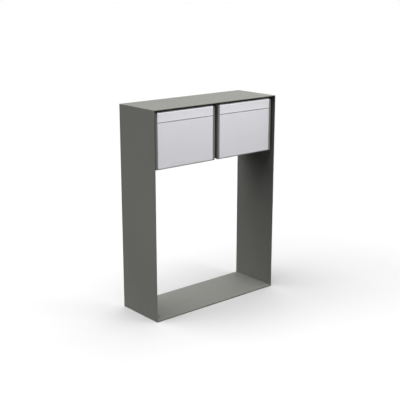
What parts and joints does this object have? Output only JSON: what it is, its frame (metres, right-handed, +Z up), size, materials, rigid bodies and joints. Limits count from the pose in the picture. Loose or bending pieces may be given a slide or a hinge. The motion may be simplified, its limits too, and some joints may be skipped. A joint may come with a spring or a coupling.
{
  "type": "cluster mailbox unit",
  "caption": "Free-standing portal frame of dark sheet metal that carries letterboxes side by side under its top panel, each with a lift-up letter flap and a side-hinged door.",
  "frame": {"origin": "middle of the footprint on the ground: halfway across the width and the depth, on the underside of the base plate", "axes": "+X to the right seen from the front, -Y to the front, where the flaps and doors are, +Z up"},
  "size_m": [0.9, 0.32, 1.2],
  "materials": {
    "frame_paint": "fine-textured matt powder coat, grey umber",
    "body_paint": "fine-textured matt powder coat, grey umber",
    "front_aluminium": "satin, fine horizontal grain, clear anodised",
    "bright_steel": "zinc plated, satin",
    "lock_chrome": "nickel-plated zinc die casting",
    "cast_zinc": "bare die-cast, matt",
    "rubber": "matt black",
    "nylon": "black, matt"
  },
  "bodies": {
    "frame": {"left_side_panel": "frame_paint", "right_side_panel": "frame_paint", "top_panel": "frame_paint", "base_plate": "frame_paint", "front_hanger_rail": "frame_paint", "rear_hanger_rail": "frame_paint", "hanger_screws": "bright_steel", "m6_nuts": "bright_steel", "side_standoffs": "bright_steel", "side_screws": "bright_steel", "centre_spacers": "bright_steel", "centre_bolts": "bright_steel", "body_rivets": "bright_steel", "flap_rod_bushes": "nylon", "lock_nuts": "lock_chrome", "door_hinge_washers": "nylon", "left_body_wrap": "body_paint", "left_body_top": "body_paint", "left_body_back": "body_paint", "left_hinge_cheek": "body_paint", "left_latch_cheek": "body_paint", "left_slot_fascia": "body_paint", "left_letter_guard": "body_paint", "left_door_stop": "body_paint", "left_door_seal": "rubber", "left_threshold": "body_paint", "left_flap_rod": "bright_steel", "left_flap_spring": "bright_steel", "left_flap_bumpers": "rubber", "left_lock_housing": "lock_chrome", "right_body_wrap": "body_paint", "right_body_top": "body_paint", "right_body_back": "body_paint", "right_hinge_cheek": "body_paint", "right_latch_cheek": "body_paint", "right_slot_fascia": "body_paint", "right_letter_guard": "body_paint", "right_door_stop": "body_paint", "right_door_seal": "rubber", "right_threshold": "body_paint", "right_flap_rod": "bright_steel", "right_flap_spring": "bright_steel", "right_flap_bumpers": "rubber", "right_lock_housing": "lock_chrome"},
    "left_door": {"left_door_panel": "front_aluminium", "left_door_keeper": "bright_steel", "left_hinge_blocks": "cast_zinc", "left_hinge_pins": "bright_steel"},
    "left_flap": {"left_flap": "front_aluminium"},
    "left_lock": {"left_lock_plug": "lock_chrome", "left_lock_cam": "bright_steel", "left_cam_screw": "bright_steel"},
    "right_door": {"right_door_panel": "front_aluminium", "right_door_keeper": "bright_steel", "right_hinge_blocks": "cast_zinc", "right_hinge_pins": "bright_steel"},
    "right_flap": {"right_flap": "front_aluminium"},
    "right_lock": {"right_lock_plug": "lock_chrome", "right_lock_cam": "bright_steel", "right_cam_screw": "bright_steel"}
  },
  "joints": [
    {"name": "left_door_hinge", "type": "hinge", "parent": "frame", "child": "left_door", "pos_m": [-0.409, -0.138, 1], "axis": [0, 0, -1], "range_deg": [0, 100]},
    {"name": "left_flap_hinge", "type": "hinge", "parent": "frame", "child": "left_flap", "pos_m": [-0.221, -0.1325, 1.1745], "axis": [-1, 0, 0], "range_deg": [0, 80], "stiffness_Nm_per_rad": 0.03, "springref_deg": -28.65},
    {"name": "left_lock_turn", "type": "hinge", "parent": "frame", "child": "left_lock", "pos_m": [-0.058, -0.1035, 1.149], "axis": [0, 1, 0], "range_deg": [0, 90]},
    {"name": "right_door_hinge", "type": "hinge", "parent": "frame", "child": "right_door", "pos_m": [0.033, -0.138, 1], "axis": [0, 0, -1], "range_deg": [0, 100]},
    {"name": "right_flap_hinge", "type": "hinge", "parent": "frame", "child": "right_flap", "pos_m": [0.221, -0.1325, 1.1745], "axis": [-1, 0, 0], "range_deg": [0, 80], "stiffness_Nm_per_rad": 0.03, "springref_deg": -28.65},
    {"name": "right_lock_turn", "type": "hinge", "parent": "frame", "child": "right_lock", "pos_m": [0.384, -0.1035, 1.149], "axis": [0, 1, 0], "range_deg": [0, 90]}
  ]
}
